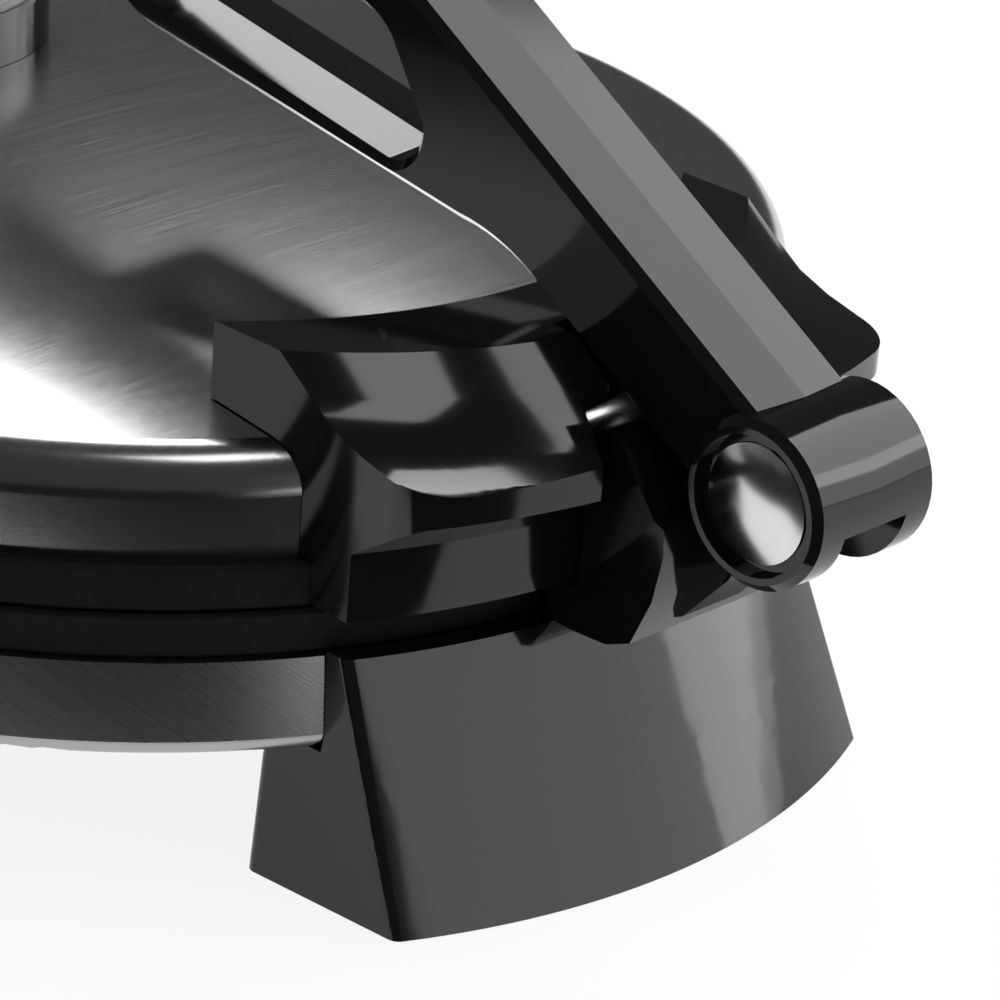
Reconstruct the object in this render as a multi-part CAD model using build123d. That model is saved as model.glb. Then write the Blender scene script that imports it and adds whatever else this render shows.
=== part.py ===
from build123d import *
import math
import os

# Driving dimensions in millimetres. X is across the machine, -Y the side with
# the grip, +Y the side with the pivot, Z = 0 the table under the rubber pads.

# Baking plates
plate_radius = 130.0
plate_thickness = 8.4
plate_edge_chamfer = 0.8
plate_rim = 6.0
plate_recess = 0.8
plate_gap = 0.5
lower_plate_z = 43.6
locating_rib_width = 3.0
locating_rib_height = 2.4
stud_boss_radius = 7.0
stud_boss_height = 3.0

# Steel shroud round the lower plate
shroud_bottom_z = 27.0
shroud_radius = plate_radius + 4.0
shroud_top_radius = plate_radius + 1.2
shroud_straight = 3.0
shroud_wall = 0.9
shroud_lip_radius = 2.6
shroud_lip_width = 8.0
shroud_flange_width = 12.0

# Steel lid over the upper plate
lid_radius = plate_radius - 3.0
lid_edge_z = 79.0
lid_crown_z = 87.0
lid_corner = 8.0
lid_wall = 0.8

# Tubular heating elements and what lies round them
tube_radius = 4.0
tube_ring_radius = plate_radius - 38.0
tube_sweep = 310.0
tube_gap = 0.25
terminal_radius = 1.6
terminal_length = 9.0
reflector_radius = plate_radius - 20.0
reflector_sheet = 0.6
reflector_gap = 2.0
reflector_rim = 4.0
tie_bolt_radius = 2.5
nut_across = 8.0
nut_height = 4.0

# Feet
foot_half_width = 62.8
foot_corner_half_width = 59.8
foot_corner_round = 2.5
foot_inner_y = plate_radius - 21.5
foot_rear_y = plate_radius + 27.0
foot_corner_y = plate_radius + 13.4
foot_top_z = lower_plate_z + 1.0
foot_top_half_width = 56.0
foot_top_radius = shroud_top_radius + 4.4
foot_wall = 2.6
foot_clearance = 0.3
pad_radius = 7.0
pad_height = 4.0
pad_stand_out = 0.3

# Pivot at the back
pivot_y = plate_radius + 43.8
pivot_z = 81.3
barrel_radius = 15.0
barrel_half_width = 15.1
barrel_chamfer = 1.4
pin_radius = 3.0
pin_clearance = 0.04
bush_wall = 1.2
knuckle_radius = 9.6
knuckle_half_width = 7.3
knuckle_gap = 0.5
open_angle = 95.0
cap_radius = 10.5
cap_rise = 1.5
cap_recess_radius = 12.4
cap_recess_depth = 2.0
cap_skirt = 4.0
fit_gap = 0.1

# Hinge bracket on the base
bracket_half_width = 17.0
bracket_clearance = 0.6
tenon_half_width = 8.0
tenon_length = 4.6
tenon_front_y = foot_top_radius - 0.2

# Arm above the lid
arm_half_width = 12.3
arm_draft = 4.5
arm_chamfer = 1.6
arm_wall = 2.8
arm_top_z = 160.0
grip_joint_y = -plate_radius + 8.0
tongue_inset = 4.2
grip_half_width = 14.5
grip_round = 6.0
screw_radius = 1.6
screw_head_radius = 2.9

# Black hood on the back of the lid
hood_curve_radius = 93.8
hood_curve_y = plate_radius - 114.0
hood_rear_radius = plate_radius + 24.0
hood_half_width = 58.2
hood_deck_z = 96.6
hood_deck_length = 21.5
hood_deck_taper = 5.5
hood_lip_z = 81.6
hood_lip_drop = 6.0
hood_corner_round = 14.0
hood_wall_radius = plate_radius + 8.2
hood_wall_bottom_z = 53.2
hood_wall_top_z = 66.0
hood_gap_half_width = 19.5
hood_wall_gap_half_width = 12.0
hood_shell = 2.8
hood_clearance = 0.25

# Front pedestal between lid and arm
pedestal_y = -plate_radius + 50.5
pedestal_radius = 38.0
pedestal_shoulder_z = 103.0
pedestal_neck_length = 58.0
pedestal_wall = 3.0

# Bottom cover, lamps and electrics
cover_radius = shroud_radius - 6.5
cover_sheet = 1.2
lamp_radius = 4.0
lamp_spacing = 24.0
lamp_z = 20.0
lamp_length = 9.0
gland_radius = 7.0

grip_end_y = -pivot_y - barrel_radius
upper_plate_z = lower_plate_z + plate_thickness + plate_gap
upper_plate_top_z = upper_plate_z + plate_thickness
lower_plate_top_z = lower_plate_z + plate_thickness
deck_z = shroud_bottom_z - foot_clearance

os.makedirs("parts", exist_ok=True)


def save(name, shape):
    export_step(shape, "parts/" + name + ".step")


def disc(radius, low_z, high_z, x=0.0, y=0.0):
    middle = Pos(x, y, (low_z + high_z) / 2)
    return middle * Cylinder(radius, high_z - low_z)


def box_between(x0, x1, y0, y1, z0, z1):
    middle = Pos((x0 + x1) / 2, (y0 + y1) / 2, (z0 + z1) / 2)
    return middle * Box(x1 - x0, y1 - y0, z1 - z0)


def x_cylinder(radius, x0, x1, y, z):
    middle = Pos((x0 + x1) / 2, y, z)
    return middle * Rot(0, 90, 0) * Cylinder(radius, x1 - x0)


def y_cylinder(radius, y0, y1, x, z):
    middle = Pos(x, (y0 + y1) / 2, z)
    return middle * Rot(90, 0, 0) * Rot(0, 0, 90) * Cylinder(radius, y1 - y0)


def side_face(outline):
    return Plane.YZ * make_face(outline)


def turned(points):
    section = Plane.XZ * make_face(Polyline(*points, close=True))
    return revolve(section, axis=Axis.Z)


def mirrored(shape):
    return mirror(shape, about=Plane.YZ)


def group(shapes):
    return Compound(children=list(shapes))


# Plates: cast discs with a raised rim round the baking face and a locating rib
# on the back, inside the steel cover that stands on it.
def plate(face_z, back_z):
    low_z = min(face_z, back_z)
    body = disc(plate_radius, low_z, low_z + plate_thickness)
    body = chamfer(body.edges().filter_by(GeomType.CIRCLE), plate_edge_chamfer)
    toward_back = 1.0 if back_z > face_z else -1.0
    recess_top = face_z + toward_back * plate_recess
    recess = disc(plate_radius - plate_rim, min(face_z, recess_top), max(face_z, recess_top))
    body = body - recess
    return body


def rib_ring(outer_radius, low_z, high_z):
    return disc(outer_radius, low_z, high_z) - disc(outer_radius - locating_rib_width, low_z, high_z)


lower_face = plate(lower_plate_top_z, lower_plate_z)
lower_rib_radius = plate_radius - shroud_flange_width - fit_gap - 1.0
lower_rib = rib_ring(lower_rib_radius, lower_plate_z - locating_rib_height, lower_plate_z)
lower_boss = disc(stud_boss_radius, lower_plate_z - stud_boss_height, lower_plate_z)
save("lower_plate", lower_face + lower_rib + lower_boss)

upper_face = plate(upper_plate_z, upper_plate_top_z)
upper_rib_radius = lid_radius - lid_wall - fit_gap
upper_rib = rib_ring(upper_rib_radius, upper_plate_top_z, upper_plate_top_z + locating_rib_height)
upper_boss = disc(stud_boss_radius, upper_plate_top_z, upper_plate_top_z + stud_boss_height)
save("upper_plate", upper_face + upper_rib + upper_boss)


# Shroud: spun steel ring, flanged inwards under the plate and rolled at its foot.
def shroud_body(shrink):
    outline = [
        (0, shroud_bottom_z + shrink),
        (shroud_radius - shrink, shroud_bottom_z + shrink),
        (shroud_radius - shrink, shroud_bottom_z + shroud_straight),
        (shroud_top_radius - shrink, lower_plate_z - shrink),
        (0, lower_plate_z - shrink),
    ]
    body = turned(outline)
    foot_edges = body.edges().filter_by(GeomType.CIRCLE).group_by(Axis.Z)[0]
    return fillet(foot_edges, shroud_lip_radius - shrink)


shroud = shroud_body(0.0) - shroud_body(shroud_wall)
lip_hole_radius = shroud_radius - shroud_lip_width
flange_hole_radius = plate_radius - shroud_flange_width
shroud = shroud - disc(lip_hole_radius, shroud_bottom_z - 1, shroud_bottom_z + 3)
shroud = shroud - disc(flange_hole_radius, lower_plate_z - 3, lower_plate_z + 1)
save("base_shroud", shroud)


# Lid: drawn steel dome with a rounded shoulder, open below.
def lid_body(shrink):
    radius = lid_radius - shrink
    middle_z = lid_crown_z - shrink - (lid_crown_z - lid_edge_z) * 0.25
    bottom = Line((0, upper_plate_top_z), (radius, upper_plate_top_z))
    side = Line((radius, upper_plate_top_z), (radius, lid_edge_z - shrink))
    crown = ThreePointArc((radius, lid_edge_z - shrink), (radius / 2, middle_z), (0, lid_crown_z - shrink))
    centre = Line((0, lid_crown_z - shrink), (0, upper_plate_top_z))
    section = make_face([bottom, side, crown, centre])
    shoulder = section.vertices().sort_by(Axis.X)[-2:].sort_by(Axis.Y)[-1]
    section = fillet(shoulder, lid_corner - shrink)
    return revolve(Plane.XZ * section, axis=Axis.Z)


def lid_surface_z(distance):
    share = distance / lid_radius
    return lid_crown_z - (lid_crown_z - lid_edge_z) * share * share


lid_outer = lid_body(0.0)
lid_cover = lid_outer - lid_body(lid_wall)
lid_bolt_hole = disc(tie_bolt_radius + fit_gap, upper_plate_z, lid_crown_z + 5, 0, pedestal_y)
lid_cover = lid_cover - lid_bolt_hole
save("lid_cover", lid_cover)


# Heating elements: a tube bent to an open ring, with two terminal pins.
tube_start_angle = 90 + (360 - tube_sweep) / 2
pin_angles = (tube_start_angle + 2, tube_start_angle + tube_sweep - 2)
pin_places = [
    (tube_ring_radius * math.cos(math.radians(a)), tube_ring_radius * math.sin(math.radians(a)))
    for a in pin_angles
]


def heater(tube_z, pin_direction):
    section = Plane.XZ * Pos(tube_ring_radius, tube_z) * Circle(tube_radius)
    shape = Rot(0, 0, tube_start_angle) * revolve(section, axis=Axis.Z, revolution_arc=tube_sweep)
    far_z = tube_z + pin_direction * terminal_length
    for x, y in pin_places:
        shape = shape + disc(terminal_radius, min(tube_z, far_z), max(tube_z, far_z), x, y)
    return shape


lower_tube_z = lower_plate_z - tube_gap - tube_radius
upper_tube_z = upper_plate_top_z + tube_gap + tube_radius
save("lower_heater", heater(lower_tube_z, -1.0))
save("upper_heater", heater(upper_tube_z, 1.0))


# Reflectors: thin dished sheets that hold the heat against the plates.
def reflector(low_z, rim_direction):
    sheet = disc(reflector_radius, low_z, low_z + reflector_sheet)
    rim_low = min(low_z, low_z + rim_direction * reflector_rim)
    rim_high = max(low_z, low_z + rim_direction * reflector_rim) + reflector_sheet
    rim = disc(reflector_radius, rim_low, rim_high)
    rim = rim - disc(reflector_radius - reflector_sheet, rim_low, rim_high)
    dish = sheet + rim - disc(tie_bolt_radius + fit_gap, low_z - 1, low_z + 2)
    for x, y in pin_places:
        dish = dish - disc(terminal_radius + 1.5, low_z - 1, low_z + 2, x, y)
    return dish


lower_reflector_z = lower_tube_z - tube_radius - reflector_gap
upper_reflector_z = upper_tube_z + tube_radius + reflector_gap - reflector_sheet
save("lower_reflector", reflector(lower_reflector_z, 1.0))
upper_bolt_hole = disc(tie_bolt_radius + fit_gap, upper_reflector_z - 1, upper_reflector_z + 2, 0, pedestal_y)
save("upper_reflector", reflector(upper_reflector_z, -1.0) - upper_bolt_hole)


# Bottom cover: sheet disc closing the shroud, with a hole for the mains bush.
cover_low_z = shroud_bottom_z + shroud_wall + fit_gap
gland_y = -40.0
cover = disc(cover_radius, cover_low_z, cover_low_z + cover_sheet)
cover = cover - disc(tie_bolt_radius + fit_gap, cover_low_z - 1, cover_low_z + 3)
cover = cover - disc(gland_radius + fit_gap, cover_low_z - 1, cover_low_z + 3, 0, gland_y)
save("bottom_cover", cover)

# Centre bolt that draws plate, reflector and cover together, with its nut.
lower_bolt = disc(tie_bolt_radius, cover_low_z - 3, lower_plate_z - stud_boss_height)
lower_head = disc(nut_across / 2, cover_low_z - 3, cover_low_z - fit_gap)
save("lower_tie_bolt", lower_bolt + lower_head)
nut_low_z = cover_low_z + cover_sheet + fit_gap / 2
nut_ring = disc(tie_bolt_radius + fit_gap / 2, nut_low_z - 1, nut_low_z + nut_height + 1)
nut_middle = Pos(0, 0, nut_low_z) * extrude(RegularPolygon(nut_across / 2, 6), nut_height)
save("lower_tie_nut", nut_middle - nut_ring)

# Mains bush: a flanged grommet seated in the bottom cover.
gland_body = disc(gland_radius, cover_low_z - 2.0, cover_low_z + 4.0, 0, gland_y)
gland_flange = disc(gland_radius + 2.5, cover_low_z - 2.0, cover_low_z - fit_gap, 0, gland_y)
gland_bore = disc(gland_radius - 3.0, cover_low_z - 3.0, cover_low_z + 5.0, 0, gland_y)
save("cord_bush", gland_body + gland_flange - gland_bore)

# Thermostat, thermal fuse and terminal block under the lower plate.
thermostat_y = 42.0
cup = disc(8.0, lower_plate_z - fit_gap - 7.0, lower_plate_z - fit_gap, 0, thermostat_y)
tabs = box_between(-12.0, 12.0, thermostat_y - 3.2, thermostat_y + 3.2, lower_plate_z - 7.1, lower_plate_z - 6.3)
save("thermostat", cup + tabs)
fuse_z = lower_plate_z - fit_gap - 2.2
fuse = x_cylinder(2.0, -7.0, 7.0, -thermostat_y, fuse_z)
fuse_leads = x_cylinder(0.6, -16.0, 16.0, -thermostat_y, fuse_z)
save("lower_thermal_fuse", fuse + fuse_leads)
upper_fuse_z = upper_plate_top_z + fit_gap + 2.2
upper_fuse = x_cylinder(2.0, -7.0, 7.0, thermostat_y, upper_fuse_z)
upper_leads = x_cylinder(0.6, -16.0, 16.0, thermostat_y, upper_fuse_z)
save("upper_thermal_fuse", upper_fuse + upper_leads)
block_low_z = cover_low_z + cover_sheet
block = box_between(24.0, 52.0, -46.0, -34.0, block_low_z, block_low_z + 3.4)
for x in (29.0, 38.0, 47.0):
    block = block - disc(1.8, block_low_z + 1.0, block_low_z + 4.0, x, -40.0)
save("terminal_block", block)


# Feet: hollow skirts, flared outwards, that hang from the shroud's lower edge.
def foot_outline(inset, level):
    if level == "bottom":
        half = foot_half_width - inset
        inner = foot_inner_y + inset
        corner_half = foot_corner_half_width - inset
        corner = foot_corner_y - inset
        rear = foot_rear_y - inset
    else:
        half = foot_top_half_width - inset
        inner = foot_inner_y - 3.0 + inset
        corner_half = half
        radius = foot_top_radius - inset
        corner = math.sqrt(radius * radius - corner_half * corner_half)
        rear = radius
    return make_face([
        Line((-half, inner), (half, inner)),
        Line((half, inner), (corner_half, corner)),
        ThreePointArc((corner_half, corner), (0, rear), (-corner_half, corner)),
        Line((-corner_half, corner), (-half, inner)),
    ])


def foot_block(inset, low_z, high_z):
    bottom = Pos(0, 0, low_z) * foot_outline(inset, "bottom")
    top = Pos(0, 0, high_z) * foot_outline(inset, "top")
    return loft([bottom, top], ruled=True)


pan_space = turned([
    (0, deck_z),
    (shroud_radius + foot_clearance, deck_z),
    (shroud_radius + foot_clearance, shroud_bottom_z + shroud_straight),
    (shroud_top_radius + foot_clearance, lower_plate_z),
    (shroud_top_radius + foot_clearance, foot_top_z + 5),
    (0, foot_top_z + 5),
])
foot_hollow = foot_block(foot_wall, -1.0, foot_top_z)
foot_hollow = foot_hollow & box_between(-90, 90, 80, 190, -2, deck_z - foot_wall)
foot_skin = foot_block(0.0, pad_stand_out, foot_top_z)
foot_corners = foot_skin.edges().filter_by(lambda e: abs(e.tangent_at(0.5).Z) > 0.5)
foot_skin = fillet(foot_corners, foot_corner_round)
plain_foot = foot_skin - foot_hollow - pan_space

pad_places = [(-48.0, plate_radius - 8.0), (48.0, plate_radius - 8.0)]
for x, y in pad_places:
    post = disc(pad_radius + 1.5, pad_height, deck_z - foot_wall / 2, x, y)
    plain_foot = plain_foot + post


def screw_hole(x, y):
    shaft = disc(screw_radius + fit_gap, deck_z - 6, deck_z + 6, x, y)
    return shaft


foot_screw_places = [(-26.0, cover_radius - 11.5), (26.0, cover_radius - 11.5)]
for x, y in foot_screw_places:
    plain_foot = plain_foot - screw_hole(x, y)

# Notch at the top of the rear foot that takes the hinge bracket's tenon.
tenon_low_z = foot_top_z - tenon_length
bracket_seat = box_between(
    -tenon_half_width - fit_gap, tenon_half_width + fit_gap,
    tenon_front_y - fit_gap, foot_rear_y + 20, tenon_low_z - fit_gap, foot_top_z + 5,
)
rear_foot = plain_foot - bracket_seat
save("rear_foot", rear_foot)

# Front foot with two lamp holes in its outer wall.
front_foot = Rot(0, 0, 180) * plain_foot
for x in (-lamp_spacing / 2, lamp_spacing / 2):
    front_foot = front_foot - y_cylinder(lamp_radius + fit_gap, -foot_rear_y - 18, -foot_inner_y - 12, x, lamp_z)
save("front_foot", front_foot)


# Lamp lenses: clear plugs with a domed face and a shoulder behind the wall.
def lamp_lens(x):
    face_y = -foot_rear_y + 12.6
    stem = y_cylinder(lamp_radius, face_y - 1.2, face_y + lamp_length, x, lamp_z)
    dome = Pos(x, face_y - 1.2, lamp_z) * Sphere(lamp_radius)
    dome = dome & box_between(x - 9, x + 9, face_y - 3.0, face_y, 0, 45)
    return stem + dome


save("power_lens", lamp_lens(-lamp_spacing / 2))
save("ready_lens", lamp_lens(lamp_spacing / 2))

# Four rubber pads under the posts of both feet.
pads = []
for side in (-1, 1):
    for x, y in pad_places:
        pads.append(disc(pad_radius, 0, pad_height, x, side * y))
save("rubber_feet", group(pads))

# Screws that hold the feet to the bottom cover.
foot_screws = []
for side in (-1, 1):
    for x, y in foot_screw_places:
        shank = disc(screw_radius, deck_z - foot_wall - 1.8, cover_low_z - fit_gap, x, side * y)
        head = disc(screw_head_radius, deck_z - foot_wall - 1.8, deck_z - foot_wall - fit_gap, x, side * y)
        foot_screws.append(shank + head)
save("foot_screws", group(foot_screws))


# Hinge bracket: moulding that stands on the rear foot's rim, held by a tenon,
# rises behind the plates and carries the knuckle of the pivot.
def from_pivot(back, up):
    return (pivot_y + back, pivot_z + up)


bracket_low_z = foot_top_z + fit_gap
bracket_side = side_face(Polyline(
    (shroud_top_radius + bracket_clearance + 0.6, bracket_low_z),
    (shroud_top_radius + bracket_clearance + 0.6, lower_plate_top_z),
    (hood_wall_radius + 1.4, lower_plate_top_z + 1.0),
    from_pivot(-34.2, -3.3),
    from_pivot(-32.2, 1.8),
    from_pivot(-29.6, 2.7),
    from_pivot(-27.8, 2.1),
    from_pivot(-18.6, -9.5),
    from_pivot(-16.2, -10.3),
    from_pivot(-15.8, -15.3),
    from_pivot(-17.4, -24.3),
    from_pivot(-21.4, -33.7),
    from_pivot(-26.8, -36.1),
    (foot_top_radius + 4.0, bracket_low_z),
    close=True,
))
bracket = extrude(bracket_side, bracket_half_width, both=True)
tenon_side = side_face(Polyline(
    (tenon_front_y, bracket_low_z + 1.0),
    (tenon_front_y, tenon_low_z),
    (tenon_front_y + 2.0, tenon_low_z),
    (tenon_front_y + 0.6, bracket_low_z + 1.0),
    close=True,
))
tenon = extrude(tenon_side, tenon_half_width, both=True)
neck_side = side_face(Polyline(
    from_pivot(-22.0, -32.0),
    from_pivot(-18.6, -30.4),
    from_pivot(-9.3, -19.8),
    from_pivot(-3.0, -9.1),
    (pivot_y, pivot_z),
    from_pivot(-9.3, -1.4),
    from_pivot(-22.0, -6.0),
    close=True,
))
neck = extrude(neck_side, knuckle_half_width, both=True)
knuckle = x_cylinder(knuckle_radius, -knuckle_half_width, knuckle_half_width, pivot_y, pivot_z)
bush_radius = pin_radius + pin_clearance + bush_wall
knuckle_bore = x_cylinder(bush_radius + 0.02, -20, 20, pivot_y, pivot_z)
barrel_space = x_cylinder(barrel_radius + bracket_clearance, knuckle_half_width, 60, pivot_y, pivot_z)
bracket = bracket - barrel_space - mirrored(barrel_space)
bracket = bracket + tenon + neck + knuckle - knuckle_bore
save("hinge_bracket", bracket)

bush = x_cylinder(bush_radius, -knuckle_half_width, knuckle_half_width, pivot_y, pivot_z)
bush = bush - x_cylinder(pin_radius + pin_clearance, -20, 20, pivot_y, pivot_z)
save("pivot_bush", bush)

pin_half_length = barrel_half_width - cap_recess_depth - cap_skirt - 0.3
save("pivot_pin", x_cylinder(pin_radius, -pin_half_length, pin_half_length, pivot_y, pivot_z))


# Arm outline, seen from the side: a beam that rises from the pivot, levels off
# over the lid and ends in the grip tongue, with a hand opening through its web.
def from_pedestal(back, z):
    return (pedestal_y + back, z)


def from_top(back, down):
    return (pivot_y + back, arm_top_z - down)


beam_low = from_pivot(-1.8, 14.1)
beam_high = from_top(-89.8, 14.4)
beam_end = from_top(-138.8, 0.0)
grip_drop = 4.0
beam_under_z = arm_top_z - 21.0
grip_under_z = arm_top_z - 26.0
arm_outline = make_face([
    Line((pivot_y, pivot_z), beam_low),
    Line(beam_low, beam_high),
    ThreePointArc(beam_high, from_top(-113.3, 4.0), beam_end),
    Line(beam_end, from_pedestal(19.5, arm_top_z)),
    Line(from_pedestal(19.5, arm_top_z), (grip_joint_y, arm_top_z - grip_drop)),
    Line((grip_joint_y, arm_top_z - grip_drop), (grip_joint_y, grip_under_z)),
    Line((grip_joint_y, grip_under_z), from_pedestal(34.5, beam_under_z)),
    Line(from_pedestal(34.5, beam_under_z), from_top(-185.8, arm_top_z - beam_under_z)),
    Line(from_top(-185.8, arm_top_z - beam_under_z), from_pivot(-163.8, 38.7)),
    ThreePointArc(from_pivot(-163.8, 38.7), from_pivot(-160.6, 36.5), from_pivot(-155.8, 34.9)),
    Line(from_pivot(-155.8, 34.9), from_pivot(-73.8, 24.3)),
    ThreePointArc(from_pivot(-73.8, 24.3), from_pivot(-63.3, 22.5), from_pivot(-54.3, 18.3)),
    Line(from_pivot(-54.3, 18.3), from_pivot(-17.3, -2.5)),
    Line(from_pivot(-17.3, -2.5), (pivot_y, pivot_z)),
])
opening_outline = make_face([
    Line(from_pivot(-156.3, 40.9), from_pivot(-92.8, 31.1)),
    ThreePointArc(from_pivot(-92.8, 31.1), from_pivot(-87.2, 33.3), from_pivot(-85.6, 38.7)),
    Line(from_pivot(-85.6, 38.7), from_top(-94.2, 27.0)),
    ThreePointArc(from_top(-94.2, 27.0), from_top(-97.8, 24.4), from_top(-102.8, 23.4)),
    Line(from_top(-102.8, 23.4), from_top(-165.8, 20.8)),
    ThreePointArc(from_top(-165.8, 20.8), from_top(-171.2, 22.4), from_top(-170.2, 26.6)),
    Line(from_top(-170.2, 26.6), from_pivot(-161.2, 43.3)),
    ThreePointArc(from_pivot(-161.2, 43.3), from_pivot(-159.0, 41.6), from_pivot(-156.3, 40.9)),
])
tongue_outline = make_face(Polyline(
    (grip_joint_y + 6.0, arm_top_z - grip_drop - tongue_inset),
    (grip_end_y + 9.0, arm_top_z - grip_drop - tongue_inset - 4.0),
    (grip_end_y + 9.0, grip_under_z - 4.0 + tongue_inset),
    (grip_joint_y + 6.0, grip_under_z + tongue_inset),
    close=True,
))
web_side = Plane.YZ * (arm_outline - opening_outline)
web = extrude(web_side, arm_half_width - arm_chamfer, taper=arm_draft)
web_flat = web.faces().sort_by(Axis.X)[-1]
web = web + extrude(web_flat, arm_chamfer, taper=45)
tongue_half_width = arm_half_width - tongue_inset
tongue = extrude(Plane.YZ * tongue_outline, tongue_half_width)

barrel = x_cylinder(barrel_radius, 0, barrel_half_width, pivot_y, pivot_z)
barrel_rim = barrel.edges().filter_by(GeomType.CIRCLE).sort_by(Axis.X)[-1]
barrel = chamfer(barrel_rim, barrel_chamfer)

pocket_outline = offset(arm_outline, -arm_wall - 1.2, kind=Kind.INTERSECTION)
pocket_outline = pocket_outline - offset(opening_outline, arm_wall + 1.2, kind=Kind.INTERSECTION)
pocket = extrude(Plane.YZ * pocket_outline, arm_half_width - arm_wall)
pocket_keep = x_cylinder(barrel_radius + 6.0, -1, 60, pivot_y, pivot_z)
pocket = pocket - pocket_keep - box_between(-1, 60, grip_joint_y - 1, grip_joint_y + 8, 100, 170)

arm_screw_places = [
    from_pivot(-33.8, 22.7), from_top(-79.8, 38.0), from_top(-163.8, 10.0),
    from_pedestal(27.5, arm_top_z - 10.5), from_pedestal(-28.5, arm_top_z - 14.0),
]
for y, z in arm_screw_places:
    pocket = pocket - x_cylinder(screw_head_radius + 1.6, -1, 60, y, z)

# The knuckle turns in a slot through the barrel, open towards the back and below
# so that the bracket's neck stays clear through the whole travel.
slot_half_width = knuckle_half_width + knuckle_gap
slot = x_cylinder(knuckle_radius + knuckle_gap, -1, slot_half_width, pivot_y, pivot_z)
slot_reach = barrel_radius + 8.0
slot_first = 182.0
slot_last = slot_first + open_angle + 74.0


def rim_point(angle):
    y = pivot_y + slot_reach * math.cos(math.radians(angle))
    z = pivot_z + slot_reach * math.sin(math.radians(angle))
    return (y, z)


slot_sector = make_face([
    Line((pivot_y, pivot_z), rim_point(slot_first)),
    ThreePointArc(rim_point(slot_first), rim_point((slot_first + slot_last) / 2), rim_point(slot_last)),
    Line(rim_point(slot_last), (pivot_y, pivot_z)),
])
slot = slot + extrude(Plane.YZ * slot_sector, slot_half_width)
pin_bore = x_cylinder(pin_radius + pin_clearance, -1, pin_half_length + 0.3, pivot_y, pivot_z)
cap_recess = x_cylinder(cap_recess_radius, barrel_half_width - cap_recess_depth, 60, pivot_y, pivot_z)
cap_seat_x = barrel_half_width - cap_recess_depth - cap_skirt
cap_seat = x_cylinder(cap_radius + fit_gap, cap_seat_x, 60, pivot_y, pivot_z)

half = web + tongue + barrel - pocket - slot - pin_bore - cap_recess - cap_seat
left_half = half
right_half = mirrored(half)
for y, z in arm_screw_places:
    shaft = x_cylinder(screw_radius + fit_gap, -arm_half_width + arm_wall, arm_half_width - arm_wall, y, z)
    left_half = left_half - shaft
    right_half = right_half - shaft
    sink = x_cylinder(screw_head_radius + fit_gap, -arm_half_width - 1, -arm_half_width + 3.2, y, z)
    right_half = right_half - sink
save("arm_left_half", left_half)
save("arm_right_half", right_half)

arm_screws = []
for y, z in arm_screw_places:
    shank = x_cylinder(screw_radius, -arm_half_width + 1.4, arm_half_width - arm_wall - 0.4, y, z)
    head = x_cylinder(screw_head_radius, -arm_half_width + 1.4, -arm_half_width + 3.1, y, z)
    arm_screws.append(shank + head)
save("arm_screws", group(arm_screws))

# Domed steel caps that close the barrel's ends.
cap_face_x = barrel_half_width - cap_recess_depth + 0.4
cap_inner = cap_radius - 1.0
cap_back = cap_seat_x + fit_gap
dome_radius = (cap_radius * cap_radius + cap_rise * cap_rise) / (2 * cap_rise)
dome_middle = cap_radius / 2
dome_drop = dome_radius - math.sqrt(dome_radius * dome_radius - dome_middle * dome_middle)
cap_profile = make_face([
    Line((0, cap_face_x - 0.8), (cap_inner, cap_face_x - 0.8)),
    Line((cap_inner, cap_face_x - 0.8), (cap_inner, cap_back)),
    Line((cap_inner, cap_back), (cap_radius, cap_back)),
    Line((cap_radius, cap_back), (cap_radius, cap_face_x)),
    ThreePointArc(
        (cap_radius, cap_face_x), (dome_middle, cap_face_x + cap_rise - dome_drop), (0, cap_face_x + cap_rise),
    ),
    Line((0, cap_face_x + cap_rise), (0, cap_face_x - 0.8)),
])
cap = revolve(Plane.XZ * cap_profile, axis=Axis.Z)
cap = Pos(0, pivot_y, pivot_z) * Rot(0, 90, 0) * cap
save("pivot_cap_left", cap)
save("pivot_cap_right", mirrored(cap))

# Grip: rounded sleeve over the tongue at the front of the arm.
grip_outline = Plane.YZ * make_face(Polyline(
    (grip_joint_y - fit_gap, arm_top_z - grip_drop + 1.5),
    (grip_end_y, arm_top_z - grip_drop - 3.5),
    (grip_end_y, grip_under_z - 5.0),
    (grip_joint_y - fit_gap, grip_under_z - 2.5),
    close=True,
))
grip = extrude(grip_outline, grip_half_width, both=True)
long_edges = grip.edges().filter_by(lambda e: abs(e.tangent_at(0.5).X) < 0.1)
grip = fillet(long_edges, grip_round)
tongue_outer = Plane.YZ * offset(tongue_outline, fit_gap, kind=Kind.INTERSECTION)
tongue_space = extrude(tongue_outer, tongue_half_width + fit_gap, both=True)
grip = grip - tongue_space
save("grip", grip)

# Pedestal: black base on the lid that carries the front of the arm.
pedestal_low_z = lid_surface_z(-pedestal_y + pedestal_radius) - 1.0
pedestal = disc(pedestal_radius, pedestal_low_z, pedestal_shoulder_z, 0, pedestal_y)
pedestal = fillet(pedestal.edges().filter_by(GeomType.CIRCLE).sort_by(Axis.Z)[-1], 7.0)
neck_block = box_between(
    -arm_half_width + 1.2, arm_half_width - 1.2,
    pedestal_y - pedestal_neck_length / 2, pedestal_y + pedestal_neck_length / 2,
    pedestal_shoulder_z - 1, 150,
)
under_arm = Plane.YZ * make_face(Polyline(
    (grip_joint_y, 90), (20, 90), (20, beam_under_z - fit_gap), from_pedestal(34.5, beam_under_z - fit_gap),
    (grip_joint_y, grip_under_z - fit_gap), close=True,
))
neck_block = neck_block & extrude(under_arm, 40, both=True)
pedestal = pedestal + neck_block
hollow = disc(pedestal_radius - pedestal_wall, pedestal_low_z - 1, pedestal_shoulder_z - pedestal_wall, 0, pedestal_y)
hollow = hollow - disc(7.0, pedestal_low_z - 2, pedestal_shoulder_z, 0, pedestal_y)
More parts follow.
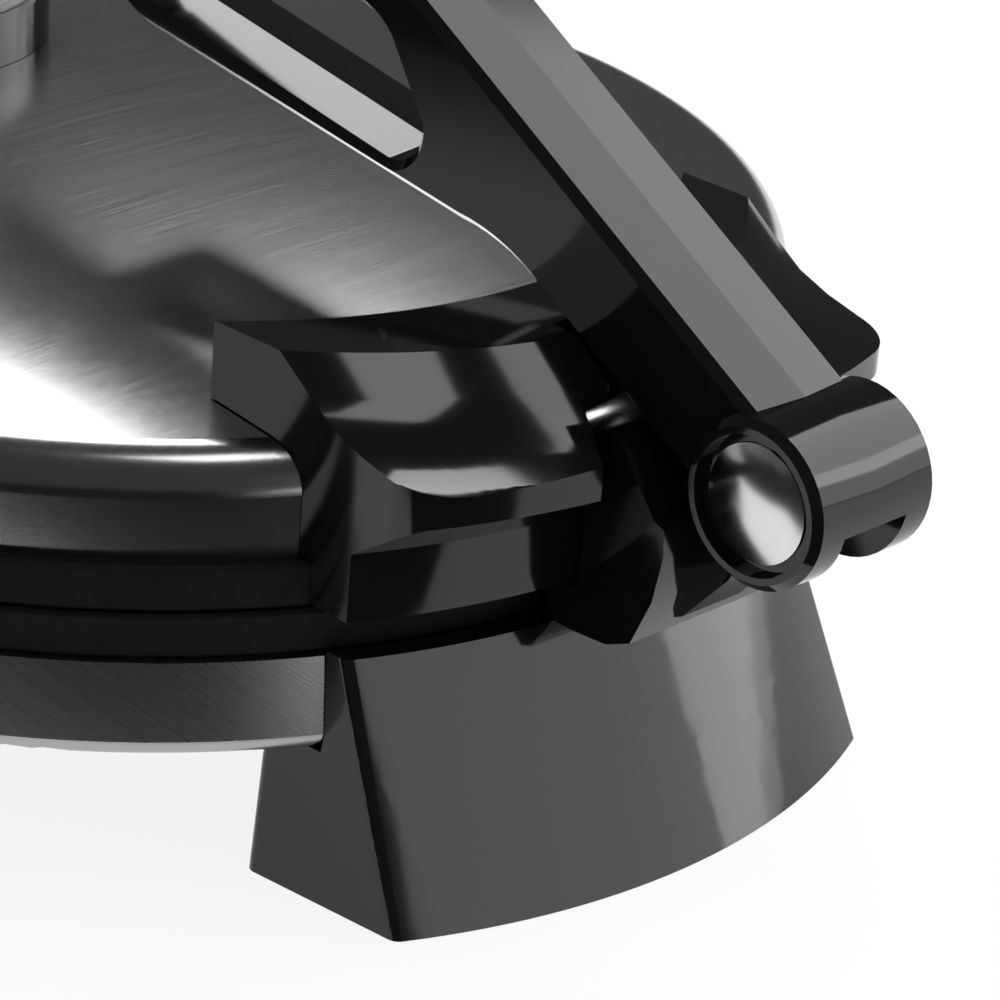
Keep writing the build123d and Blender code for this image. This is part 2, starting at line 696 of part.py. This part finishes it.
pedestal = pedestal - hollow - lid_body(-fit_gap)
pedestal_bore = disc(tie_bolt_radius + fit_gap, 60, 125, 0, pedestal_y)
pedestal = pedestal - pedestal_bore
save("lid_pedestal", pedestal)

# Bolt from the upper reflector through lid and pedestal.
upper_bolt_low_z = upper_reflector_z - 3.2
upper_bolt = disc(tie_bolt_radius, upper_bolt_low_z, 122.0, 0, pedestal_y)
upper_bolt_head = disc(nut_across / 2, upper_bolt_low_z, upper_reflector_z - fit_gap, 0, pedestal_y)
save("upper_tie_bolt", upper_bolt + upper_bolt_head)


# Hood: black moulding that wraps the back of the lid. A flat deck follows a curved
# front edge, a riser drops from it to two scooped visors either side of the hinge
# bracket, and a wall below them covers the upper plate's edge.
def hood_section(x, inset):
    front_y = hood_curve_y + math.sqrt(hood_curve_radius ** 2 - x * x)
    step = hood_deck_length - hood_deck_taper * (x / hood_half_width) ** 2
    top = [
        (inset, hood_deck_z - 1.0),
        (step, hood_deck_z - 0.6),
        (step + 8.0, hood_deck_z - 6.2),
        (step + 14.0, hood_lip_z + 5.0),
        (step + 21.0, hood_lip_z + 2.6),
        (step + 28.5, hood_lip_z + 1.0),
        (step + 48.0, hood_lip_z - 0.8),
    ]
    points = [(front_y + back, z - inset) for back, z in top]
    points = points + [(front_y + step + 48.0, 40.0), (front_y + inset, 40.0)]
    return Pos(x, 0, 0) * side_face(Polyline(*points, close=True))


def hood_mass(inset):
    half = hood_half_width - inset
    places = [half * share for share in (-1.0, -0.75, -0.5, -0.25, 0.0, 0.25, 0.5, 0.75, 1.0)]
    body = loft([hood_section(x, inset) for x in places])
    rim = hood_rear_radius - inset
    ring = turned([
        (lid_radius - 60, hood_wall_bottom_z - inset),
        (hood_wall_radius - inset, hood_wall_bottom_z - inset),
        (hood_wall_radius - inset, hood_wall_top_z),
        (rim - 3.0, hood_lip_z - hood_lip_drop + inset * 0.6),
        (rim, hood_lip_z - hood_lip_drop + 1.5 + inset * 0.6),
        (rim, hood_deck_z + 10),
        (lid_radius - 60, hood_deck_z + 10),
    ])
    corner_y = math.sqrt(rim * rim - half * half)
    plan = make_face([
        Line((-half, 40), (half, 40)),
        Line((half, 40), (half, corner_y)),
        ThreePointArc((half, corner_y), (0, rim), (-half, corner_y)),
        Line((-half, corner_y), (-half, 40)),
    ])
    plan = fillet(plan.vertices().group_by(Axis.Y)[-1], hood_corner_round - inset)
    return body & ring & extrude(Pos(0, 0, 30) * plan, 90)


hood = hood_mass(0.0)
hood = hood - hood_mass(hood_shell)
hood = hood - lid_body(-hood_clearance)
hood = hood - disc(plate_radius + hood_clearance, 30, upper_plate_top_z + hood_clearance)
gap_low = box_between(
    -hood_wall_gap_half_width, hood_wall_gap_half_width,
    lid_radius - 15, hood_rear_radius + 9, 40, hood_wall_top_z,
)
gap_front_y = hood_wall_radius + 0.8
gap_plan = make_face(Polyline(
    (-hood_gap_half_width, gap_front_y), (hood_gap_half_width, gap_front_y),
    (hood_gap_half_width + 2.5, gap_front_y + 5), (hood_gap_half_width + 12, hood_rear_radius + 5),
    (-hood_gap_half_width - 12, hood_rear_radius + 5), (-hood_gap_half_width - 2.5, gap_front_y + 5),
    close=True,
))
gap_high = extrude(Pos(0, 0, hood_wall_top_z - 1) * gap_plan, 60)
web_space = side_face(Polyline(
    from_pivot(-64.0, 22.9), from_pivot(-12.0, -6.3), from_pivot(-12.0, 40.0), from_pivot(-64.0, 40.0), close=True,
))
web_space = extrude(web_space, arm_half_width + 0.6, both=True)
hood = hood - gap_low - gap_high - web_space
save("lid_hood", hood)
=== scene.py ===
import math
import bpy
import bmesh
from mathutils import Matrix, Vector


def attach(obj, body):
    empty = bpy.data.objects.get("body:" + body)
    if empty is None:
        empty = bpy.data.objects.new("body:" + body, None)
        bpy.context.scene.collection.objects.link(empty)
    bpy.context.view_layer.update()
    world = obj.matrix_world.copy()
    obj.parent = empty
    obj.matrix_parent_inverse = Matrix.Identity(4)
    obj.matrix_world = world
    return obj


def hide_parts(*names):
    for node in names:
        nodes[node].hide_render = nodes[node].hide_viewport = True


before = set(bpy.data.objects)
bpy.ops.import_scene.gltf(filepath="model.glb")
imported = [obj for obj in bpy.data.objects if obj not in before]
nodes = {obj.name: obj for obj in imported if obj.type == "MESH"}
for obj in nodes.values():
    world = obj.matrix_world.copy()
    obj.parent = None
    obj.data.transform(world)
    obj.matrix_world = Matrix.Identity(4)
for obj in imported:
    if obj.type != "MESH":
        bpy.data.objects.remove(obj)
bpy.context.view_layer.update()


# Rubber pads: four moulded rubber discs pushed on the posts inside both feet. The
# machine stands on them, so their matt black shows only as a thin line.
class Wire:
    def __init__(self, tree, socket):
        self.tree = tree
        self.socket = socket

    def maths(self, operation, first, second):
        node = self.tree.nodes.new("ShaderNodeMath")
        node.operation = operation
        for place, value in ((0, first), (1, second)):
            if isinstance(value, Wire):
                self.tree.links.new(value.socket, node.inputs[place])
            else:
                node.inputs[place].default_value = value
        return Wire(self.tree, node.outputs[0])

    def __add__(self, other):
        return self.maths("ADD", self, other)

    def __sub__(self, other):
        return self.maths("SUBTRACT", self, other)

    def __mul__(self, other):
        return self.maths("MULTIPLY", self, other)

    def node(self, kind, settings=None, inputs=None, output=0):
        made = self.tree.nodes.new(kind)
        for key, value in (settings or {}).items():
            setattr(made, key, value)
        for key, value in (inputs or {}).items():
            if isinstance(value, Wire):
                self.tree.links.new(value.socket, made.inputs[key])
            else:
                made.inputs[key].default_value = value
        return Wire(self.tree, made.outputs[output]) if made.outputs else None

    def blend(self, low, high):
        return self.node(
            "ShaderNodeMix", {"data_type": "RGBA"},
            {0: self, 6: (*low, 1.0), 7: (*high, 1.0)}, 2,
        )


def new_material(name):
    made = bpy.data.materials.new(name)
    made.use_nodes = True
    tree = made.node_tree
    tree.nodes.clear()
    start = Wire(tree, None)
    place = start.node("ShaderNodeTexCoord", output=3)
    return made, start, place


def finish_surface(made, start, inputs):
    shader = start.node("ShaderNodeBsdfPrincipled", {}, inputs)
    start.node("ShaderNodeOutputMaterial", {}, {"Surface": shader})
    return made


def noise(place, scale, detail=2.0, roughness=0.5, stretch=None, turn=(0, 0, 0)):
    if stretch:
        place = place.node(
            "ShaderNodeMapping", {}, {"Vector": place, "Rotation": turn, "Scale": stretch},
        )
    return place.node(
        "ShaderNodeTexNoise", {},
        {"Vector": place, "Scale": scale, "Detail": detail, "Roughness": roughness},
    )


def bump(height, strength, distance):
    return height.node(
        "ShaderNodeBump", {}, {"Height": height, "Strength": strength, "Distance": distance},
    )


def plain_finish(name, low, high, metallic, rough, scale, relief):
    made, start, place = new_material(name)
    cloud = noise(place, scale, 3.0, 0.6)
    fine = noise(place, scale * 12.0, 2.0, 0.6)
    return finish_surface(made, start, {
        "Base Color": (cloud * 0.6 + fine * 0.4).blend(low, high),
        "Metallic": metallic,
        "Roughness": cloud * 0.14 + (rough - 0.07),
        "Normal": bump(fine, relief, 0.0002),
    })


def dress(node, surface):
    for place in range(len(nodes[node].data.materials)):
        nodes[node].data.materials[place] = surface
    if not nodes[node].data.materials:
        nodes[node].data.materials.append(surface)


rubber = plain_finish("moulded_rubber", (0.014, 0.014, 0.014), (0.030, 0.030, 0.030), 0.0, 0.72, 140.0, 0.30)
dress("rubber_feet", rubber)


# Feet: two hollow skirts moulded in glossy black phenolic, flared outwards. The mould
# leaves a polished skin with a very faint waviness, a little dulled by handling.
def gloss_black(name, shade, gloss):
    made, start, place = new_material(name)
    wave = noise(place, 22.0, 1.0)
    dull = noise(place, 55.0, 4.0, 0.6)
    fine = noise(place, 900.0, 2.0)
    low = (shade * 0.8, shade * 0.8, shade * 0.85)
    high = (shade * 1.3, shade * 1.3, shade * 1.35)
    return finish_surface(made, start, {
        "Base Color": dull.blend(low, high),
        "Roughness": dull * 0.05 + (gloss - 0.03),
        "IOR": 1.5,
        "Normal": bump(wave * 0.8 + fine * 0.03, 0.04, 0.0006),
    })


def smoothed(node, body, surface, crease=24.0):
    shape = bmesh.new()
    shape.from_mesh(nodes[node].data)
    bmesh.ops.remove_doubles(shape, verts=shape.verts, dist=0.000002)
    for face in shape.faces:
        face.smooth = True
    for edge in shape.edges:
        edge.smooth = len(edge.link_faces) == 2 and edge.calc_face_angle() < math.radians(crease)
    data = bpy.data.meshes.new(node + "_moulding")
    shape.to_mesh(data)
    shape.free()
    made = bpy.data.objects.new(node + "_moulding", data)
    bpy.context.collection.objects.link(made)
    even = made.modifiers.new("even", "WEIGHTED_NORMAL")
    even.keep_sharp = True
    even.weight = 80
    data.materials.append(surface)
    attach(made, body)
    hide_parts(node)


phenolic = gloss_black("black_gloss", 0.0035, 0.09)
smoothed("rear_foot", "base", phenolic)
smoothed("front_foot", "base", phenolic)

# Lamps: two clear resin plugs pressed through the front foot, red for power and
# green for ready, with a domed and polished face.
power_resin = plain_finish("red_lens_resin", (0.42, 0.012, 0.008), (0.60, 0.030, 0.020), 0.0, 0.16, 60.0, 0.04)
ready_resin = plain_finish("green_lens_resin", (0.020, 0.30, 0.06), (0.050, 0.45, 0.10), 0.0, 0.16, 60.0, 0.04)
dress("power_lens", power_resin)
dress("ready_lens", ready_resin)

# Bottom cover: a pressed steel disc with black paint, closing the shroud from below.
# Four zinc plated screws hold the feet to it, and a rubber bush lines its one hole.
cover_paint = plain_finish("cover_paint", (0.020, 0.020, 0.020), (0.035, 0.035, 0.035), 0.0, 0.45, 60.0, 0.15)
zinc = plain_finish("zinc_plate", (0.46, 0.46, 0.47), (0.62, 0.62, 0.64), 1.0, 0.34, 90.0, 0.10)
dress("bottom_cover", cover_paint)
dress("foot_screws", zinc)
dress("cord_bush", rubber)


# Shroud: a stainless ring spun to a cone and rolled under at its foot. The belt that
# brushed it ran round the wall on a slant, so the grain follows it round.
def steel_finish(made, start, grain, hair, cloud, shade, rough):
    tone = grain * 0.55 + hair * 0.25 + cloud * 0.2
    low = (shade * 0.93, shade * 0.925, shade * 0.92)
    high = (shade * 1.07, shade * 1.065, shade * 1.06)
    return finish_surface(made, start, {
        "Base Color": tone.blend(low, high),
        "Metallic": 1.0,
        "Roughness": grain * 0.12 + (rough - 0.06),
        "Normal": bump(grain * 0.7 + hair * 0.3, 0.05, 0.0002),
    })


steel_shade = 0.42
grain_across = 2100.0
shroud_grain_along = 12.0
shroud_wall_radius = 0.134
brush_slant = -0.6
shroud_steel, start, place = new_material("shroud_steel")
split = start.node("ShaderNodeSeparateXYZ", {}, {0: place}).socket.node
x, y, z = [Wire(start.tree, split.outputs[axis]) for axis in range(3)]
round_way = start.maths("ARCTAN2", y, x) * shroud_wall_radius
along = round_way * math.cos(brush_slant) + z * math.sin(brush_slant)
across = z * math.cos(brush_slant) - round_way * math.sin(brush_slant)
wrapped = start.node("ShaderNodeCombineXYZ", {}, {0: along * shroud_grain_along, 1: across * grain_across})
steel_finish(
    shroud_steel, start, noise(wrapped, 1.0, 3.0, 0.65), noise(wrapped, 3.1, 2.0, 0.6),
    noise(place, 9.0, 2.0), steel_shade, 0.28,
)
dress("base_shroud", shroud_steel)

# Plates: two cast aluminium discs, turned on the baking face and sprayed with a dark
# non-stick coating that dries to a matt, finely speckled skin.
coating, start, place = new_material("coated_plate")
speck = noise(place, 700.0, 3.0, 0.7)
scuff = noise(place, 40.0, 4.0, 0.6)
finish_surface(coating, start, {
    "Base Color": speck.blend((0.002, 0.002, 0.002), (0.009, 0.0088, 0.0085)),
    "Roughness": scuff * 0.2 + 0.45,
    "Specular IOR Level": 0.12,
    "Normal": bump(speck + scuff * 0.4, 0.5, 0.0003),
})
dress("lower_plate", coating)
dress("upper_plate", coating)

# Heating tubes: steel tubes packed with wire and powder, bent to an open ring behind
# each plate. Heat has turned their skin grey brown.
tube_skin = plain_finish("oxidised_tube", (0.12, 0.11, 0.10), (0.27, 0.25, 0.23), 1.0, 0.48, 70.0, 0.20)
dress("lower_heater", tube_skin)
dress("upper_heater", tube_skin)

# Reflectors: thin aluminised steel dishes that turn the heat back to the plates, with
# the zinc plated bolts and the nut that draw each stack together.
dish_sheet = plain_finish("aluminised_sheet", (0.66, 0.66, 0.65), (0.80, 0.80, 0.79), 1.0, 0.30, 50.0, 0.12)
dress("lower_reflector", dish_sheet)
dress("upper_reflector", dish_sheet)
for node in ("lower_tie_bolt", "lower_tie_nut", "upper_tie_bolt"):
    dress(node, zinc)

# Thermostat and terminal block: pressed and fired ceramic, left unglazed. The thermal
# fuses, one at each plate, are small plated steel cans on wires.
ceramic = plain_finish("unglazed_ceramic", (0.76, 0.73, 0.67), (0.88, 0.86, 0.81), 0.0, 0.70, 110.0, 0.25)
dress("thermostat", ceramic)
dress("terminal_block", ceramic)
dress("lower_thermal_fuse", zinc)
dress("upper_thermal_fuse", zinc)

# Hinge bracket: a black phenolic moulding that stands on the rear foot, held by its
# tenon. A turned brass bush sits in its knuckle and the zinc plated pin runs in that.
smoothed("hinge_bracket", "base", phenolic)
bush_brass = plain_finish("turned_brass", (0.60, 0.43, 0.18), (0.76, 0.58, 0.28), 1.0, 0.28, 120.0, 0.08)
dress("pivot_bush", bush_brass)
dress("pivot_pin", zinc)

# Lid: a shallow dome drawn from stainless sheet and brushed in one straight direction,
# almost square to the arm. Its open edge stands on the upper plate, outside the plate's rib.
brush_turn = (0, 0, 0.05)
lid_grain_along = 10.0
brush_stretch = (lid_grain_along, grain_across, grain_across)
lid_steel, start, place = new_material("lid_steel")
steel_finish(
    lid_steel, start, noise(place, 1.0, 3.0, 0.65, brush_stretch, brush_turn),
    noise(place, 3.1, 2.0, 0.6, brush_stretch, brush_turn), noise(place, 9.0, 2.0), steel_shade, 0.20,
)
dress("lid_cover", lid_steel)

# Hood and pedestal: black phenolic mouldings on the lid. The hood wraps its back edge
# with a deck and two visors. The pedestal, held by a bolt, carries the front of the arm.
smoothed("lid_hood", "lid", phenolic)
smoothed("lid_pedestal", "lid", phenolic)

# Arm: two mirrored halves of the same black moulding, met on a seam along the middle
# and drawn together by zinc plated screws, with their heads sunk in the right half.
smoothed("arm_left_half", "lid", phenolic)
smoothed("arm_right_half", "lid", phenolic)
dress("arm_screws", zinc)

# End caps: small domes pressed from stainless sheet, satin polished and pushed into
# both ends of the barrel to hide the pin.
cap_steel, start, place = new_material("polished_steel")
polish_grain = noise(place, 1.0, 2.0, 0.6, (1200.0, 60.0, 60.0))
finish_surface(cap_steel, start, {
    "Base Color": polish_grain.blend((0.70, 0.70, 0.71), (0.78, 0.78, 0.79)),
    "Metallic": 1.0,
    "Roughness": polish_grain * 0.06 + 0.14,
})
smoothed("pivot_cap_left", "lid", cap_steel)
smoothed("pivot_cap_right", "lid", cap_steel)

# Grip: a rounded sleeve of finely textured black plastic that slides over the tongue
# at the front of the arm. It is duller than the phenolic.
grip_black = gloss_black("black_grip", 0.018, 0.38)
dress("grip", grip_black)


# Studio table: a white sweep that keeps a faint shadow of the machine, under an even
# white surround.
def staged(name, corners, height):
    shape = bmesh.new()
    ring = [shape.verts.new((x, y, height)) for x, y in corners]
    shape.faces.new(ring)
    data = bpy.data.meshes.new(name)
    shape.to_mesh(data)
    shape.free()
    made = bpy.data.objects.new(name, data)
    bpy.context.collection.objects.link(made)
    return made


def rays_seen(start):
    path = start.node("ShaderNodeLightPath").socket.node
    kinds = ("Is Camera Ray", "Is Glossy Ray", "Is Transmission Ray")
    first, second, third = [Wire(start.tree, path.outputs[kind]) for kind in kinds]
    return first + second + third


floor = staged("floor", ((-8, -8), (8, -8), (8, 8), (-8, 8)), 0.0)
floor_paint, start, place = new_material("floor_paint")
plain = start.node("ShaderNodeBsdfDiffuse", {}, {"Color": (0.86, 0.86, 0.86, 1.0)})
glow = start.node("ShaderNodeEmission", {}, {"Color": (1.0, 1.0, 1.0, 1.0), "Strength": 1.0})
sweep = start.node("ShaderNodeMixShader", {}, {0: rays_seen(start) * 0.88, 1: plain, 2: glow})
start.node("ShaderNodeOutputMaterial", {}, {"Surface": sweep})
floor.data.materials.append(floor_paint)

world = bpy.data.worlds.new("studio")
world.use_nodes = True
world.node_tree.nodes.clear()
start = Wire(world.node_tree, None)
sky = start.node(
    "ShaderNodeBackground", {},
    {"Color": (1.0, 1.0, 1.0, 1.0), "Strength": rays_seen(start) * 0.55 + 0.45},
)
start.node("ShaderNodeOutputWorld", {}, {"Surface": sky})
bpy.context.scene.world = world


# Studio cloths: a black cloth on the table between machine and camera and a grey tent
# over both. Only the reflections in steel and phenolic show them.
def only_reflected(made, shade):
    paint, start, place = new_material(made.name + "_cloth")
    cloth = start.node("ShaderNodeEmission", {}, {"Color": (shade, shade, shade, 1.0), "Strength": 1.0})
    start.node("ShaderNodeOutputMaterial", {}, {"Surface": cloth})
    made.data.materials.append(paint)
    made.visible_camera = False
    made.visible_diffuse = False
    made.visible_transmission = False
    made.visible_shadow = False


cloth_corners = (
    (0.225, -1.5), (3.0, -1.5), (3.0, 3.0), (0.30, 3.0), (0.18, 0.42),
    (-0.03, 0.38), (0.03, 0.235), (0.08, 0.185), (0.175, 0.155), (0.225, 0.12),
)
only_reflected(staged("dark_cloth", cloth_corners, 0.0008), 0.02)
tent_shape = bmesh.new()
bmesh.ops.create_uvsphere(tent_shape, u_segments=32, v_segments=16, radius=4.0)
tent_data = bpy.data.meshes.new("grey_tent")
tent_shape.to_mesh(tent_data)
tent_shape.free()
tent = bpy.data.objects.new("grey_tent", tent_data)
bpy.context.collection.objects.link(tent)
only_reflected(tent, 0.07)


# Softboxes: fabric covered lamps on stands round the table. Each gives one of the
# broad pale reflections on the lid, the arm, the hood, the foot and the barrel.
def softbox(name, place, aim, size, radiance):
    data = bpy.data.lights.new(name, "AREA")
    data.shape = "RECTANGLE"
    data.size, data.size_y = size
    data.energy = radiance * math.pi * size[0] * size[1]
    made = bpy.data.objects.new(name, data)
    away = (Vector(place) - Vector(aim)).normalized()
    made.matrix_world = Matrix.LocRotScale(Vector(place), away.to_track_quat("Z", "Y"), None)
    bpy.context.collection.objects.link(made)


softbox("left_softbox", (-1.05, 0.62, 1.15), (0.0, 0.1, 0.05), (1.5, 1.5), 3.0)
softbox("back_softbox", (-1.00, 1.50, 0.50), (0.0, 0.1, 0.05), (2.9, 0.9), 1.8)
softbox("far_softbox", (-0.55, -0.88, 1.30), (0.05, 0.0, 0.08), (0.95, 0.80), 5.4)
softbox("rim_softbox", (-1.56, 0.60, 0.32), (0.0, 0.16, 0.30), (1.5, 0.62), 2.4)
softbox("top_softbox", (0.03, 0.50, 1.55), (0.05, 0.12, 0.09), (0.38, 0.38), 3.4)
softbox("right_softbox", (1.6, -1.2, 1.1), (0.0, 0.0, 0.05), (0.9, 0.9), 1.6)

# Camera: a long lens in a low three-quarter view from behind, on the side where X is
# positive, with the slight tilt of a hand-held frame.
azimuth = math.radians(132.72)
elevation = math.radians(25.44)
tilt = math.radians(4.65)
toward_camera = Vector((
    math.sin(azimuth) * math.cos(elevation),
    -math.cos(azimuth) * math.cos(elevation),
    math.sin(elevation),
))
level_right = (-toward_camera).cross(Vector((0, 0, 1))).normalized()
level_up = level_right.cross(-toward_camera).normalized()
camera_right = level_right * math.cos(tilt) + level_up * math.sin(tilt)
camera_up = level_up * math.cos(tilt) - level_right * math.sin(tilt)
camera = bpy.data.objects.new("camera", bpy.data.cameras.new("camera"))
camera.data.sensor_width = 36.0
camera.data.lens = 171.25
camera.data.clip_start = 0.05
camera.matrix_world = Matrix.LocRotScale(
    Vector((0.5620, 0.62313, 0.41494)),
    Matrix((camera_right, camera_up, toward_camera)).transposed(),
    None,
)
bpy.context.collection.objects.link(camera)
bpy.context.scene.camera = camera
bpy.context.scene.view_settings.view_transform = "Standard"
